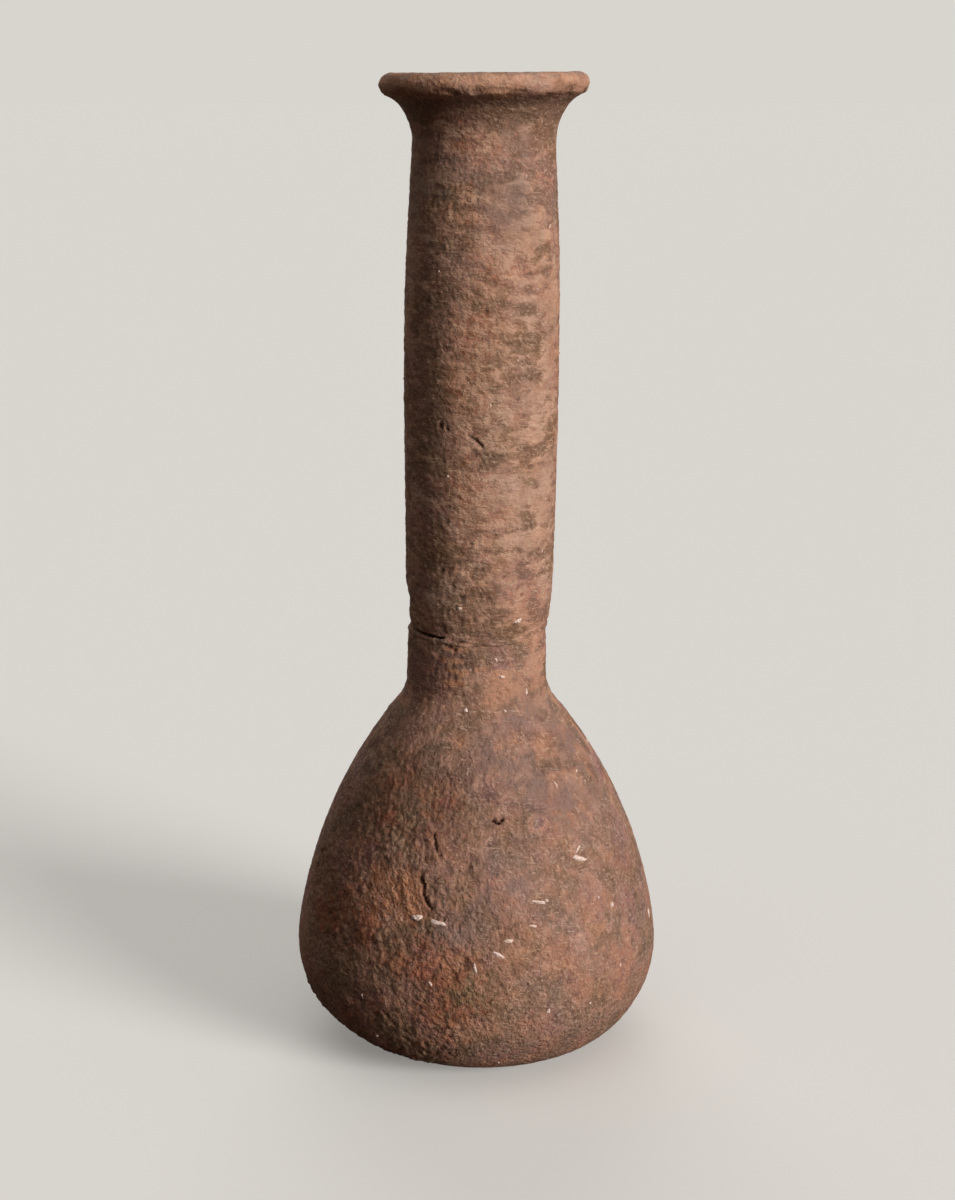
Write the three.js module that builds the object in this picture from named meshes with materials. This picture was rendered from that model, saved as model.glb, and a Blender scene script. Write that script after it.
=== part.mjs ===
// A small bottle for scented oil, thrown on the wheel in unglazed red clay. It was made in two
// thrown parts, a pear-shaped body on a flat foot and a tall neck with a rounded rim, and the
// potter joined them with a ring of wet slip. Millimetres, +Z up, with the origin in the plane of
// the foot, under the belly's centre.

import * as THREE from 'three';

const degrees = Math.PI / 180;

// Body, outside: foot, heel, belly and shoulder
const footRadius = 17.5;
const heelRadius = 20.9;
const heelHeight = 1;
const heelAngle = 24.6; // degrees above level, where the wall leaves the heel
const heelReach = 9.6; // how far the wall holds the heel's slope
const bellyRadius = 31.4;
const bellyHeight = 17.2;
const bellyRoundBelow = 4.5; // how far the wall stays upright under the widest ring
const bellyRoundAbove = 3.2; // and above it
const shoulderReach = 26.6; // how far the shoulder holds its slope under the collar
const shoulderAngle = 40.5; // degrees from upright, where the shoulder meets the collar

// Body, outside: the collar that carries the neck
const collarRootRadius = 12;
const collarRootHeight = 62.1;
const collarLength = 10.7;
const collarRadius = 11.7;

// Body, inside
const floorThickness = 6;
const floorRadius = 9;
const floorRound = 11; // how far the floor runs on level as it turns up into the wall
const bellyWall = 4.2;
const innerShoulderDrop = 2.8; // from the collar's root down to the end of the straight bore
const innerShoulderReach = 22.5;
const boreRadius = 8.4;

// Ring of slip in the seam
const slipThickness = 0.8;
const slipInset = 0.35; // how far it shrank in from the outside
const slipBead = 0.8; // how far it was squeezed into the bore

// Neck
const neckLength = 91.4;
const neckFootRadius = 11.55;
const neckLowerRadius = 12.5;
const neckLowerRise = 10; // above the seam
const neckSwellRadius = 12.8;
const neckSwellRise = 53; // above the seam
const throatRadius = 11.65;
const throatDrop = 11.2; // below the top of the rim
const throatRise = 3.5; // how far the flare starts upright

// Rim and mouth
const rimRadius = 17.05;
const lipRound = 1.9; // radius of the rounded lip
const lipUnderAngle = 65; // degrees below level on the lip's round, where the flare ends
const flareReach = 3; // how far the flare holds the lip's slope
const mouthReach = 3.2; // how far the rim's top stays level towards the mouth
const mouthDepth = 13; // below the top of the rim, where the funnel meets the bore
const mouthFunnel = 8; // how far the bore's wall stays upright as it opens

// Marks of the hand: nothing on the wheel was quite centred
const footShift = 0.8; // the foot was cut a little to the right
const footShiftHeight = 8; // and the wall is true again this far up
const neckShift = 0.35; // the neck was set a little to the right of the collar
const neckLean = 0.6; // degrees, to the right
const rimTilt = 0.6; // degrees, right side up

const bodySteps = 11; // points on each curve of the body's outline
const neckSteps = 6; // and of the neck's
const bodySides = 64; // facets round the body
const neckSides = 48; // and round the neck and the slip

const collarTop = collarRootHeight + collarLength;
const neckFoot = collarTop + slipThickness;
const rimTop = neckFoot + neckLength;
const throatHeight = rimTop - throatDrop;

// Turns a closed or axis-to-axis outline about +Z into a solid of revolution.
function throwOnWheel(outline, steps, sides) {
  const geometry = new THREE.LatheGeometry(outline.getPoints(steps), sides);
  return geometry.rotateX(Math.PI / 2);
}

// Moves every point of a thrown shape by what the hand did to it.
function bendByHand(geometry, move) {
  const places = geometry.attributes.position;
  const point = new THREE.Vector3();
  for (let i = 0; i < places.count; i += 1) {
    point.fromBufferAttribute(places, i);
    move(point);
    places.setXYZ(i, point.x, point.y, point.z);
  }
  geometry.computeVertexNormals();
  return geometry;
}

// 1 at the low end of a stretch and 0 at its high end, with a soft start and end.
function fadeOut(value, low, high) {
  return 1 - THREE.MathUtils.smoothstep(value, low, high);
}

function makeBody() {
  const outline = new THREE.Path();
  outline.moveTo(0, 0);
  outline.lineTo(footRadius, 0);
  outline.lineTo(heelRadius, heelHeight);
  outline.bezierCurveTo(
    heelRadius + heelReach * Math.cos(heelAngle * degrees),
    heelHeight + heelReach * Math.sin(heelAngle * degrees),
    bellyRadius,
    bellyHeight - bellyRoundBelow,
    bellyRadius,
    bellyHeight,
  );
  outline.bezierCurveTo(
    bellyRadius,
    bellyHeight + bellyRoundAbove,
    collarRootRadius + shoulderReach * Math.sin(shoulderAngle * degrees),
    collarRootHeight - shoulderReach * Math.cos(shoulderAngle * degrees),
    collarRootRadius,
    collarRootHeight,
  );
  outline.lineTo(collarRadius, collarTop);
  outline.lineTo(boreRadius, collarTop);
  outline.lineTo(boreRadius, collarRootHeight - innerShoulderDrop);

  const innerBelly = bellyRadius - bellyWall;
  outline.bezierCurveTo(
    boreRadius + innerShoulderReach * Math.sin(shoulderAngle * degrees),
    collarRootHeight - innerShoulderDrop - innerShoulderReach * Math.cos(shoulderAngle * degrees),
    innerBelly,
    bellyHeight + bellyRoundAbove,
    innerBelly,
    bellyHeight,
  );
  outline.bezierCurveTo(
    innerBelly,
    bellyHeight - bellyRoundBelow,
    floorRadius + floorRound,
    floorThickness,
    floorRadius,
    floorThickness,
  );
  outline.lineTo(0, floorThickness);

  const body = throwOnWheel(outline, bodySteps, bodySides);
  return bendByHand(body, (point) => {
    point.x += footShift * fadeOut(point.z, 0, footShiftHeight);
  });
}

function makeNeck() {
  const lipCentre = rimRadius - lipRound;
  const lipHeight = rimTop - lipRound;
  const flareEnd = -lipUnderAngle * degrees;
  const flareEndRadius = lipCentre + lipRound * Math.cos(flareEnd);
  const flareEndHeight = lipHeight + lipRound * Math.sin(flareEnd);

  const outline = new THREE.Path();
  outline.moveTo(boreRadius, neckFoot);
  outline.lineTo(neckFootRadius, neckFoot);
  outline.splineThru([
    new THREE.Vector2(neckLowerRadius, neckFoot + neckLowerRise),
    new THREE.Vector2(neckSwellRadius, neckFoot + neckSwellRise),
    new THREE.Vector2(throatRadius, throatHeight),
  ]);
  outline.bezierCurveTo(
    throatRadius,
    throatHeight + throatRise,
    flareEndRadius + flareReach * Math.sin(flareEnd),
    flareEndHeight - flareReach * Math.cos(flareEnd),
    flareEndRadius,
    flareEndHeight,
  );
  outline.absarc(lipCentre, lipHeight, lipRound, flareEnd, Math.PI / 2);
  outline.bezierCurveTo(
    lipCentre - mouthReach,
    rimTop,
    boreRadius,
    rimTop - mouthDepth + mouthFunnel,
    boreRadius,
    rimTop - mouthDepth,
  );
  outline.lineTo(boreRadius, neckFoot);

  const neck = throwOnWheel(outline, neckSteps, neckSides);
  return bendByHand(neck, (point) => {
    const tilted = 1 - fadeOut(point.z, throatHeight, rimTop);
    const rise = point.x * Math.tan(rimTilt * degrees) * tilted;
    point.x += neckShift + (point.z - neckFoot) * Math.tan(neckLean * degrees);
    point.z += rise;
  });
}

function makeLutingSlip() {
  const outerRadius = Math.min(collarRadius, neckFootRadius) - slipInset;
  const beadRadius = slipThickness / 2;
  const beadCentre = boreRadius - slipBead + beadRadius;
  const middle = collarTop + beadRadius;

  const outline = new THREE.Path();
  outline.moveTo(beadCentre, collarTop);
  outline.lineTo(outerRadius, collarTop);
  outline.lineTo(outerRadius, neckFoot);
  outline.lineTo(beadCentre, neckFoot);
  outline.absarc(beadCentre, middle, beadRadius, Math.PI / 2, Math.PI * 1.5);

  const ring = throwOnWheel(outline, neckSteps, neckSides);
  return bendByHand(ring, (point) => {
    point.x += (neckShift * (point.z - collarTop)) / slipThickness;
  });
}

function namedPiece(name, geometry, colour) {
  const clay = new THREE.MeshStandardMaterial({ color: colour, roughness: 0.95, metalness: 0 });
  const piece = new THREE.Mesh(geometry, clay);
  piece.name = name;
  return piece;
}

const bottle = new THREE.Group();
bottle.add(namedPiece('body', makeBody(), '#86604d'));
bottle.add(namedPiece('luting_slip', makeLutingSlip(), '#5f4638'));
bottle.add(namedPiece('neck', makeNeck(), '#8d6450'));

export default bottle;
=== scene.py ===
# The looks of a small clay bottle for scented oil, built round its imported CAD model. Shapes are
# worked out in millimetres and brought down to metres where a mesh is made. Azimuth 0 faces -Y,
# the side in the photograph, and 90 faces +X, to its right.

import math

import bpy
import numpy as np
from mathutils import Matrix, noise


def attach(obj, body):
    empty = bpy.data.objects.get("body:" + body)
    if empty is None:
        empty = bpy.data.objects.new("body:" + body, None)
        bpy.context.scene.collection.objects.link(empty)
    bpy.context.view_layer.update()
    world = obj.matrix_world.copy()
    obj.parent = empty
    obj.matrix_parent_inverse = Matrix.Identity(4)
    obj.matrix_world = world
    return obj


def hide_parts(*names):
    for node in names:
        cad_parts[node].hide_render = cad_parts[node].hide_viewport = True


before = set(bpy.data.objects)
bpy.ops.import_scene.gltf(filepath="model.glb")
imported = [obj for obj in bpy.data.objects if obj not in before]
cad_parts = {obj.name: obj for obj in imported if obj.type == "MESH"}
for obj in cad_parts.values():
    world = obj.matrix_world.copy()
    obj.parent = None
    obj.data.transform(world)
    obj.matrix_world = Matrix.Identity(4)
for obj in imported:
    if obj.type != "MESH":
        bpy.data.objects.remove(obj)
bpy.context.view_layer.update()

scene = bpy.context.scene
scene.view_settings.view_transform = "Standard"


# Camera. It stands where the photograph was taken from, level with the rim and 36 cm away,
# tipped down so that the verticals draw together a little towards the foot.

camera_place = (0.00015, -0.3561, 0.165)  # metres
camera_dip = 13.8  # degrees below level
focal_length = 64.5  # millimetres


def put_in_scene(name, data):
    """A new object of that name in the scene."""
    thing = bpy.data.objects.new(name, data)
    scene.collection.objects.link(thing)
    return thing


camera_data = bpy.data.cameras.new("camera")
camera_data.lens = focal_length
camera_data.clip_start = 0.01
camera = put_in_scene("camera", camera_data)
camera.location = camera_place
camera.rotation_euler = (math.radians(90 - camera_dip), 0, 0)
scene.camera = camera


# Body. The pear-shaped bulb with its flat foot and the short collar that carries the neck, thrown
# in one piece from red clay with sand in it, cut off the wheel with a string and fired without a
# glaze. Its left front is scaled and flaked, with a spalled hollow; its right is still smooth.

mm = 0.001
foot_radius = 17.5
heel = (20.9, 1.0)  # radius and height, as for every point below
heel_aim = (29.63, 5.0)  # where the wall makes for as it leaves the heel
belly = (31.4, 17.2)
belly_upright = (12.7, 20.4)  # two heights, towards which the wall leaves the belly upright
collar_aim = (29.27, 41.87)  # where the shoulder comes from as it meets the collar
collar_root = (12.0, 62.1)
crease_fillet = 2.4  # how far down the shoulder the crease was smeared over with clay
crease_end = (11.94, 64.4)
collar_top = (11.7, 72.8)
collar_bevel = 0.3
bore_radius = 8.4
bore_end = 59.3
bore_aim = (23.01, 42.19)
inner_belly = 27.2
floor_aim = 20  # radius, on the floor, that the inner wall makes for
floor_radius = 9
floor_height = 6.0
axis_gap = 0.3  # radius of the small flat caps that close the mesh at the axis
foot_shift = 0.8  # the foot was cut a little to the right


def curve(start, leave, arrive, end):
    """Points on a smooth curve from start to end, steered by the two points between them."""
    t = np.linspace(0, 1, 80)[:, None]
    start, leave, arrive, end = (np.array(p, float) for p in (start, leave, arrive, end))
    towards = 3 * t * (1 - t) ** 2 * leave + 3 * t**2 * (1 - t) * arrive
    return (1 - t) ** 3 * start + towards + t**3 * end


def walk(line, step):
    """The same line in equal steps of about that many millimetres."""
    line = np.asarray(line, float)
    gone = np.concatenate([[0], np.cumsum(np.hypot(*np.diff(line, axis=0).T))])
    even = np.linspace(0, gone[-1], max(2, round(gone[-1] / step) + 1))
    return np.column_stack([np.interp(even, gone, line[:, k]) for k in (0, 1)])


def chain(*lines):
    """The lines as one, without the doubled point where two meet."""
    return np.vstack([lines[0], *(line[1:] for line in lines[1:])])


def ease(low, high, value):
    """0 below low, 1 above high, and a soft rise between."""
    t = np.clip((value - low) / (high - low), 0, 1)
    return t * t * (3 - 2 * t)


def band(distance, middle, width):
    """1 where the distance is the middle one, and a soft fall to 0 over about that width."""
    return np.exp(-(((distance - middle) / width) ** 2))


def throw(outline, sides, crowding):
    """Places and outward directions of a thrown form: a row for each point of the outline, a
    column for each side. Columns crowd towards the front, where the marks are finest."""
    t = np.arange(sides) / sides * 2 * math.pi - math.pi
    azimuth = t - crowding * np.sin(t)
    run = np.gradient(outline, axis=0)
    run /= np.linalg.norm(run, axis=1)[:, None]
    sine, cosine = np.sin(azimuth), np.cos(azimuth)
    radius, height = outline[:, :1], outline[:, 1:]
    out, up = run[:, 1:], -run[:, :1]
    level = np.ones_like(sine)
    places = np.stack([radius * sine, -radius * cosine, height * level], -1)
    outward = np.stack([out * sine, -out * cosine, up * level], -1)
    return places, outward


def azimuth_of(places):
    """Degrees round from the front, counted to the right."""
    return np.degrees(np.arctan2(places[..., 0], -places[..., 1]))


def bumps(places, size, seed, octaves=1):
    """Random hills and hollows, about -1 to 1, of that size in millimetres. Each seed looks at
    another part of the same endless noise."""
    spots = (places / size + 31.7 * seed).reshape(-1, 3).tolist()
    heights = [noise.fractal(spot, 1.0, 2.0, octaves) for spot in spots]
    return np.reshape(heights, places.shape[:-1])


def tipped(places, degrees):
    """The places turned about the line of sight, so that a pattern can run aslant on the front."""
    turn = math.radians(degrees)
    x, y, z = np.moveaxis(places, -1, 0)
    return np.stack([x * math.cos(turn) - z * math.sin(turn), y,
                     x * math.sin(turn) + z * math.cos(turn)], -1)


def mark(places, wall, azimuth, height):
    """Millimetres across and up from a mark's middle on the wall."""
    turn = math.radians(azimuth)
    radius, above = np.interp([height, height + 1], wall[:, 1], wall[:, 0])
    out = np.array([math.sin(turn), -math.cos(turn), 0])
    right = np.array([math.cos(turn), math.sin(turn), 0])
    up = out * (above - radius) + (0, 0, 1)
    up /= np.linalg.norm(up)
    away = places - radius * out - (0, 0, height)
    on_far_side, out_of_reach = away @ out < -radius, 99.0
    return np.where(on_far_side, out_of_reach, away @ right), away @ up


def blot(places, wall, azimuth, height, width, tall):
    """1 in the middle of an oval mark of that size, 0.5 at its edge and 0 at twice its reach."""
    across, rise = mark(places, wall, azimuth, height)
    return 1 - ease(0, 2, np.hypot(across * 2 / width, rise * 2 / tall))


def groove(places, wall, azimuth, height, path, width):
    """About 1 along a ragged line of points across and up from a mark's middle, 0 beyond that
    width."""
    across, rise = mark(places, wall, azimuth, height)
    reach = 2 + max(math.hypot(*point) for point in path)
    waver = 0.03 * reach
    close = np.hypot(across, rise) < reach
    spots = places[close]
    x = across[close] + waver * bumps(spots, 0.9, 61, 2)
    y = rise[close] + waver * bumps(spots, 0.9, 62, 2)
    near = np.full(x.shape, 1e3)
    for (x0, y0), (x1, y1) in zip(path, path[1:]):
        dx, dy = x1 - x0, y1 - y0
        along = np.clip(((x - x0) * dx + (y - y0) * dy) / (dx * dx + dy * dy), 0, 1)
        near = np.minimum(near, np.hypot(x - x0 - along * dx, y - y0 - along * dy))
    depth = np.zeros(across.shape)
    depth[close] = (1 - ease(0, width, near)) * (0.85 + 0.8 * bumps(spots, 1.2, 63, 2))
    return depth


def grooves(places, wall, marks):
    """The deepest of several grooves, each azimuth, height, depth, width and path."""
    return np.max([deep * groove(places, wall, azimuth, height, path, width)
                   for azimuth, height, deep, width, path in marks], axis=0)


shoulder = curve(belly, (belly[0], belly_upright[1]), collar_aim, collar_root)
shoulder = shoulder[np.hypot(*(shoulder - collar_root).T) > crease_fillet]
crease, over_crease = np.array(collar_root), np.array(crease_end)
body_wall = walk(chain(
    [(foot_radius, 0), heel],
    curve(heel, heel_aim, (belly[0], belly_upright[0]), belly),
    shoulder,
    curve(shoulder[-1], (shoulder[-1] + 2 * crease) / 3, (over_crease + 2 * crease) / 3, over_crease),
    [over_crease, (collar_top[0], collar_top[1] - collar_bevel),
     (collar_top[0] - collar_bevel, collar_top[1])],
), step=0.42)
body_inside = walk(chain(
    [(bore_radius, collar_top[1]), (bore_radius, bore_end)],
    curve((bore_radius, bore_end), bore_aim, (inner_belly, belly_upright[1]), (inner_belly, belly[1])),
    curve((inner_belly, belly[1]), (inner_belly, belly_upright[0]),
          (floor_aim, floor_height), (floor_radius, floor_height)),
    [(floor_radius, floor_height), (axis_gap, floor_height)],
), step=3.6)
body_outline = chain(
    walk([(axis_gap, 0), (foot_radius, 0)], step=0.9), body_wall,
    walk([body_wall[-1], body_inside[0]], step=1.1), body_inside,
)
body_places, body_outward = throw(body_outline, sides=372, crowding=0.46)


def flaked(places):
    """How far the skin has scaled off: most at the left front and behind, little at the right."""
    height = places[..., 2]
    azimuth = azimuth_of(places) + 34 * bumps(places, 14, 3, 2)
    left_front = ease(-82, -56, azimuth) * (1 - ease(-16, 16, azimuth))
    from_back = np.abs((azimuth - 20) % 360 - 180)
    share = np.maximum(left_front, 0.7 * (1 - ease(12, 42, from_back)))
    share = share * (0.85 + 0.5 * bumps(places, 7, 36))
    return share * (1 - 0.7 * ease(42, 54, height)) * (1 - ease(54, 62, height))


def weathering(places, rough):
    """Relief of fired and long buried clay: the hand's unevenness, grit, crumbs, lumps, leaves of
    scale and pits, each with its size and depth in millimetres."""
    grit = bumps(places, 0.8, 7, 2)
    crumbs = bumps(places, 2.0, 6, 3)
    lumps = bumps(tipped(places, -24), (3.6, 3.6, 5.0), 5, 3)
    leaves = bumps(places, (5.0, 5.0, 7.0), 8, 4)
    pits = ease(0.5, 0.6, bumps(places, 1.5, 9))
    hand = 0.14 * bumps(places, 21, 2) + 0.05 * bumps(places, 6, 4)
    worn = 0.25 * grit + 0.17 * crumbs + 0.12 * lumps - 0.12 * ease(0.05, 0.12, leaves)
    return hand + rough * worn + 0.035 * grit - 0.12 * (0.15 + rough) * pits


def seam_split(places):
    """How deep the wiped slip has split open round the left front, with a notch at its end."""
    return grooves(places, body_wall, [
        (-53, 73.45, 1.1, 0.34, [(-1.7, 0.12), (0.2, 0.0), (1.9, -0.06)]),
        (-50, 73.45, 1.0, 0.24, [(-4.0, 0.2), (-2, 0.12), (0, 0), (2, -0.06), (3.9, -0.1)]),
        (-22, 72.1, 0.6, 0.32, [(-0.9, 0.3), (0.1, 0.0), (1.1, -0.5)]),
        (-17, 73.1, 0.25, 0.4, [(-1.8, 0.2), (0.5, 0.0), (3.0, -0.3)]),
    ])


def seam_fold(places):
    """The thin lip of clay that the split has left standing under it."""
    lip = groove(places, body_wall, -20, 72.75, [(-1.9, 0.2), (0, 0.1), (2.6, -0.5)], 0.7)
    return 0.2 * lip


def scores(places):
    """Fine pale scores, where something sharp has dragged over the fired clay."""
    return grooves(places, body_wall, [(azimuth, height, 1, 0.3, line) for azimuth, height, line in (
        (-45.6, 47.3, [(-1.8, -1.5), (0, 0), (1.7, 1.5)]), (-49, 33.3, [(0.1, -0.8), (-0.1, 0.9)]),
        (-42, 33.0, [(-0.3, 0.9), (0.2, -1.0)]), (14, 52.4, [(-3.0, 0.2), (0, 0), (3.2, -0.4)]),
        (28, 56.5, [(-1.6, 0.7), (1.8, -0.9)]), (36, 46, [(-1.2, -0.2), (1.6, 0.3)]),
        (33, 26.5, [(-1.6, 0.1), (1.6, 0.3)]), (48, 33, [(-0.2, 1.6), (0.2, -1.4)]),
        (150, 40, [(-3, 2), (3, -1)]), (210, 30, [(-4, 0.3), (4, 0.8)]), (255, 50, [(-2, 1), (2, -2)]),
    )])


def wheel_lines(places):
    """Fine level lines that the wheel and a wet hand drew round the clay."""
    fine = bumps(places, (5.0, 5.0, 0.8), 11, 2)
    broad = bumps(places, (30.0, 30.0, 2.6), 12)
    return 0.05 * fine + 0.05 * broad


spall = (-28.4, 33.2)  # azimuth and height of the spall's middle


def spalled(places):
    """1 in the hollow on the left front where a thin leaf of clay has sprung off, ending at the
    fissure on its right."""
    across, rise = mark(places, body_wall, *spall)
    ragged = bumps(places, 3.0, 14, 3)
    edge = np.interp(rise, [-6, -2.1, 0.6, 2.2, 5], [7.2, 8.4, 5.6, 5.0, 4.2])
    left_of_edge = ease(-0.2, 0.2, edge - across + 0.25 * ragged)
    oval = np.hypot((across + 0.6) / 7.6, (rise - 0.2) / 5.6)
    return left_of_edge * (1 - ease(0.8, 1.0, oval + 0.2 * ragged))


def cuts_of_body(places):
    """Depth of the marks cut or broken into the wall: the split, the fissure by the spall, cracks
    and gouges, the ragged crease under the collar and the small void at the front."""
    return np.maximum(seam_split(places), grooves(places, body_wall, [
        (*spall, 0.6, 0.4, [(3.9, 5.4), (4.1, 4.0), (4.9, 2.6)]),
        (*spall, 0.7, 0.38, [(4.7, 2.4), (5.2, 0.8), (6.2, -0.3), (6.6, -0.7)]),
        (*spall, 0.5, 0.34, [(7.0, -0.8), (8.0, -1.3), (8.9, -2.1)]),
        (*spall, 0.22, 0.5, [(-1.2, 2.8), (0.2, 0.8), (1.0, -0.6)]),
        (-15, 41.5, 0.42, 0.38, [(-0.8, 2.2), (-0.2, 0), (0.8, -1.2)]),
        (-20, 41.0, 0.3, 0.38, [(-0.5, 2.4), (0.2, 0.6), (0.4, -1.4)]),
        (-26, 12.5, 0.35, 0.36, [(-2.6, 2.0), (-0.8, 0.6), (0.6, -1.2), (2.4, -2.0)]),
        (-17, 52.0, 0.25, 0.4, [(-2.4, 2.6), (0, 1.6), (1.4, -0.4), (1.8, -2.6)]),
        (-5, 23.0, 0.3, 0.4, [(-3.4, 1.8), (-1.4, 0.2), (-0.8, -1.6)]),
        (6, 20.5, 0.25, 0.34, [(-1.8, 1.8), (0.4, 0.2), (1.4, -1.8)]),
        (-31, 64.2, 0.2, 0.5, [(-4.0, 0.1), (-1.6, -0.35), (0.8, 0.2), (3.6, -0.1)]),
        (-9, 64.1, 0.2, 0.42, [(-2.4, -0.3), (0.2, 0.2), (2.8, -0.2)]),
        (22, 63.9, 0.15, 0.36, [(-4.0, 0.1), (-1.0, -0.3), (2.0, 0.2), (4.2, -0.1)]),
        (46, 63.6, 0.12, 0.36, [(-2.0, 0.0), (2.0, 0.25)]),
        (8.8, 45.7, 1.5, 0.36, [(-0.8, 0.2), (-0.2, -0.08), (0.3, -0.1), (0.8, 0.1)]),
    ]))


torn_way = -34  # degrees that the fibres of torn clay lean from upright


def relief_of_body(places):
    """How far the clay of the outer wall stands out of the thrown form, or in."""
    on_collar = ease(57, 63, places[..., 2])
    lift = weathering(places, flaked(places) + 0.15 + 0.25 * on_collar)
    lift = lift + wheel_lines(places) * (0.4 + 0.6 * on_collar)
    gone = spalled(places)
    fibres = bumps(tipped(places, torn_way), (1.3, 1.3, 9.0), 15, 2)
    lift = lift * (1 - 0.85 * gone) + gone * (0.3 * fibres - 0.32)
    for azimuth, up in ((29, 3.4), (-30, 6.5), (4, 12), (-3, 39), (-47, 22), (62, 40), (140, 30)):
        lift -= 0.3 * blot(places, body_wall, azimuth, up, 0.9, 0.9)
    lift += 0.3 * blot(places, body_wall, -91, 58.4, 2.4, 1.4)
    lift -= 0.3 * blot(places, body_wall, -91, 56.2, 3, 1.6)
    return lift + seam_fold(places)


def relief_under_foot(places):
    """Curved grooves where a string cut the bottle off the wheel. They only ever go inwards."""
    x, y = places[..., 0], places[..., 1]
    arcs = np.hypot((x - 34) / 1.25, y + 9) + 0.5 * bumps(places, 9, 21)
    cut = 0.5 + 0.5 * np.sin(arcs * 2 * math.pi / 2.1)
    scoop = 1 - ease(11, 17, np.hypot(x - foot_shift, y))
    return -(0.12 * cut + 0.25 * scoop + 0.1 * ease(0.1, 0.5, bumps(places, 2.4, 22)))


def relief_inside(places):
    """Rings that the potter's fingers left, and the drag of the clay between them."""
    rings = np.sin(places[..., 2] * 2 * math.pi / 5.5 + 1.5 * bumps(places, 20, 24))
    return 0.18 * rings + 0.12 * bumps(places, 5, 25, 2)


radius_of_row, height_of_row = body_outline[:, :1], body_outline[:, 1:]
row = np.arange(len(body_outline))[:, None]
first_wall, last_wall, first_inside = (
    np.argmin(np.hypot(*(body_outline - point).T))
    for point in (body_wall[0], body_wall[-1], body_inside[0])
)
outside = (row >= first_wall) & (row <= last_wall)
under = row < first_wall
inner = row > first_inside

# The relief dies away at the seam, where the pieces meet, and at the foot, which has to stand flat.
below_seam = collar_top[1] - height_of_row
foot_edge = 1.5  # height over which the wall's relief comes in
body_cuts = cuts_of_body(body_places)
on_wall = (relief_of_body(body_places) - body_cuts) * (1 - ease(-1.2, 0, 0.1 - below_seam))
on_wall = np.where(height_of_row < foot_edge,
                   np.minimum(on_wall, 0) * height_of_row / foot_edge, on_wall)
on_foot = relief_under_foot(body_places) * (1 - ease(15.8, 17.3, radius_of_row))
on_inside = relief_inside(body_places) * ease(0, 6, below_seam)
body_relief = np.select([outside, under, inner], [on_wall, on_foot, on_inside], 0)
body_shaped = body_places + body_outward * body_relief[..., None]
body_shaped[..., 0] += foot_shift * (1 - ease(0, 8, body_places[..., 2]))


def linear(colour):
    """An sRGB hex colour as the linear red, green, blue and alpha that Blender reads."""
    values = [int(colour[i : i + 2], 16) / 255 for i in (1, 3, 5)]
    return [v / 12.92 if v <= 0.04045 else ((v + 0.055) / 1.055) ** 2.4 for v in values] + [1.0]


def add(tree, kind, inputs=(), out=0, stops=(), **settings):
    """Adds a node with its settings and gives one of its outputs. An input is a value, a colour
    in hex or the output of another node."""
    node = tree.nodes.new("ShaderNode" + kind)
    for name, value in settings.items():
        setattr(node, name, value)
    for socket, value in dict(inputs).items():
        if isinstance(value, bpy.types.NodeSocket):
            tree.links.new(value, node.inputs[socket])
        else:
            node.inputs[socket].default_value = linear(value) if isinstance(value, str) else value
    for index, (place, colour) in enumerate(stops):
        ramp = node.color_ramp.elements
        stop = ramp[index] if index < 2 else ramp.new(place)
        stop.position, stop.color = place, linear(colour)
    return node.outputs[out] if node.outputs else None


def clear_nodes(owner):
    """The node tree of a material or world, with nothing in it."""
    owner.use_nodes = True
    owner.node_tree.nodes.clear()
    return owner.node_tree


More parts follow.
